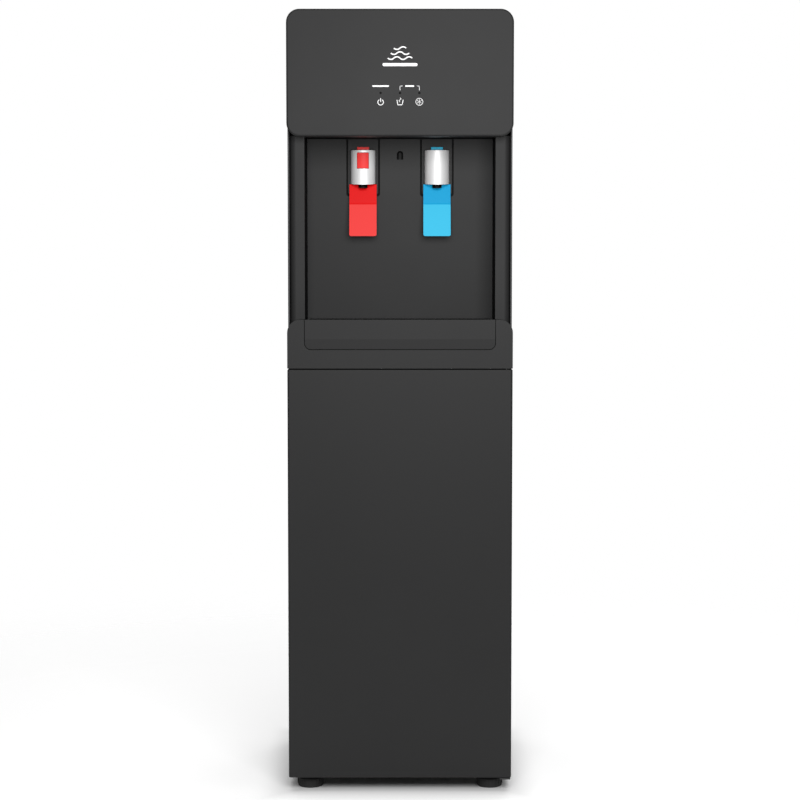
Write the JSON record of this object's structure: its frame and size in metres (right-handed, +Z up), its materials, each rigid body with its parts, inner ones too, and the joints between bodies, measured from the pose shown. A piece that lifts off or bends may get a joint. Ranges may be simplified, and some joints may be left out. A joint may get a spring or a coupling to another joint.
{
  "type": "floor-standing water dispenser",
  "caption": "Tall free-standing bottleless dispenser: hot and cold taps with push paddles in a lit alcove, pull-out drip tray, filter compartment door and rear condenser.",
  "frame": {"origin": "on the floor, under the middle of the cabinet's width and depth", "axes": "+Z up, the taps and door face -Y, +X to the right of someone facing the front"},
  "size_m": [0.3, 0.33, 1.0455],
  "materials": {
    "cover_plastic": "fine satin moulded texture",
    "cabinet_steel": "powder coat",
    "bare_steel": "brushed",
    "black_plastic": "matt",
    "black_steel": "baked enamel",
    "foot_rubber": "matt",
    "satin_silver": "satin plated",
    "hot_red": "moulded gloss",
    "cold_blue": "moulded gloss",
    "white_plastic": "moulded",
    "clear_tube": "translucent",
    "copper": "drawn tube",
    "board_green": "solder mask",
    "lamp_lens": "diffusing",
    "magnet_black": "bonded ferrite"
  },
  "bodies": {
    "cabinet": {"base_pan": "cabinet_steel", "levelling_feet": "foot_rubber", "side_panel_left": "cabinet_steel", "side_panel_right": "cabinet_steel", "rear_panel": "cabinet_steel", "panel_screws": "bare_steel", "bulkhead_shelf": "bare_steel", "top_cover": "cover_plastic", "head_cover": "cover_plastic", "indicator_lights": "lamp_lens", "indicator_board": "board_green", "alcove_cheek_left": "cover_plastic", "alcove_cheek_right": "cover_plastic", "alcove_liner": "black_plastic", "alcove_back_panel": "cover_plastic", "night_light_lens": "cover_plastic", "front_fascia": "cover_plastic", "door_hinge_pins": "bare_steel", "door_magnet": "magnet_black", "hot_tap_bezel": "cover_plastic", "cold_tap_bezel": "cover_plastic", "hot_tap_cover": "satin_silver", "cold_tap_cover": "satin_silver", "hot_tap_marker": "hot_red", "cold_tap_marker": "cold_blue", "hot_spout": "black_plastic", "cold_spout": "black_plastic", "hot_valve_body": "black_plastic", "cold_valve_body": "black_plastic", "paddle_pins": "bare_steel", "valve_springs": "bare_steel", "filter_manifold": "white_plastic", "cold_tank_bracket": "bare_steel", "cold_tank": "bare_steel", "cold_tank_lid": "white_plastic", "evaporator_coil": "copper", "hot_tank": "bare_steel", "water_tubes": "clear_tube", "compressor_mounts": "foot_rubber", "compressor": "black_steel", "condenser": "black_steel", "water_inlet": "white_plastic", "cord_gland": "black_plastic", "switch_plate": "black_plastic"},
    "service_door": {"service_door": "cover_plastic", "door_strike": "bare_steel"},
    "drip_tray": {"drip_tray": "cover_plastic"},
    "drip_grille": {"drip_grille": "black_plastic"},
    "hot_paddle": {"hot_paddle": "hot_red"},
    "cold_paddle": {"cold_paddle": "cold_blue"},
    "hot_plunger": {"hot_plunger": "white_plastic"},
    "cold_plunger": {"cold_plunger": "white_plastic"},
    "hot_safety_button": {"hot_safety_button": "hot_red"},
    "filter_left": {"filter_cartridge_left": "white_plastic"},
    "filter_right": {"filter_cartridge_right": "white_plastic"},
    "float_arm": {"float_arm": "white_plastic"},
    "drain_cap": {"drain_cap": "black_plastic"},
    "hot_rocker": {"hot_rocker": "hot_red"},
    "light_rocker": {"light_rocker": "white_plastic"},
    "cold_rocker": {"cold_rocker": "cold_blue"}
  },
  "joints": [
    {"name": "door_hinge", "type": "hinge", "parent": "cabinet", "child": "service_door", "pos_m": [0.142, -0.157, 0.29475], "axis": [0, 0, 1], "range_deg": [0, 100]},
    {"name": "tray_slide", "type": "slide", "parent": "cabinet", "child": "drip_tray", "axis": [0, -1, 0], "range_m": [0, 0.095]},
    {"name": "grille_lift", "type": "slide", "parent": "drip_tray", "child": "drip_grille", "axis": [0, 0, 1], "range_m": [0, 0.03]},
    {"name": "hot_paddle_hinge", "type": "hinge", "parent": "cabinet", "child": "hot_paddle", "pos_m": [-0.0506, -0.0635, 0.8285], "axis": [1, 0, 0], "range_deg": [0, 10], "stiffness_Nm_per_rad": 0.3, "springref_deg": -5.73},
    {"name": "hot_plunger_slide", "type": "slide", "parent": "cabinet", "child": "hot_plunger", "axis": [0, 1, 0], "range_m": [0, 0.00245]},
    {"name": "cold_paddle_hinge", "type": "hinge", "parent": "cabinet", "child": "cold_paddle", "pos_m": [0.0506, -0.0635, 0.8285], "axis": [1, 0, 0], "range_deg": [0, 10], "stiffness_Nm_per_rad": 0.3, "springref_deg": -5.73},
    {"name": "cold_plunger_slide", "type": "slide", "parent": "cabinet", "child": "cold_plunger", "axis": [0, 1, 0], "range_m": [0, 0.00245]},
    {"name": "safety_button_slide", "type": "slide", "parent": "cabinet", "child": "hot_safety_button", "axis": [0, 1, 0], "range_m": [0, 0.003], "stiffness_N_per_m": 300, "springref_m": -0.001},
    {"name": "filter_left_turn", "type": "hinge", "parent": "cabinet", "child": "filter_left", "pos_m": [-0.052, -0.094, 0.513], "axis": [0, 0, 1], "range_deg": [0, 90]},
    {"name": "filter_right_turn", "type": "hinge", "parent": "cabinet", "child": "filter_right", "pos_m": [0.052, -0.094, 0.513], "axis": [0, 0, 1], "range_deg": [0, 90]},
    {"name": "float_hinge", "type": "hinge", "parent": "cabinet", "child": "float_arm", "pos_m": [-0.044, 0.0588, 0.928], "axis": [0, -1, 0], "range_deg": [0, 30]},
    {"name": "drain_cap_pull", "type": "slide", "parent": "cabinet", "child": "drain_cap", "axis": [0, 1, 0], "range_m": [0, 0.014]},
    {"name": "hot_rocker_hinge", "type": "hinge", "parent": "cabinet", "child": "hot_rocker", "pos_m": [0.058, 0.1365, 0.9495], "axis": [1, 0, 0], "range_deg": [0, 20]},
    {"name": "light_rocker_hinge", "type": "hinge", "parent": "cabinet", "child": "light_rocker", "pos_m": [0.085, 0.1365, 0.9495], "axis": [1, 0, 0], "range_deg": [0, 20]},
    {"name": "cold_rocker_hinge", "type": "hinge", "parent": "cabinet", "child": "cold_rocker", "pos_m": [0.112, 0.1365, 0.9495], "axis": [1, 0, 0], "range_deg": [0, 20]}
  ],
  "couplings": [
    {"joint": "hot_plunger_slide", "follows": "hot_paddle_hinge", "m_per_rad": 0.014},
    {"joint": "cold_plunger_slide", "follows": "cold_paddle_hinge", "m_per_rad": 0.014}
  ]
}
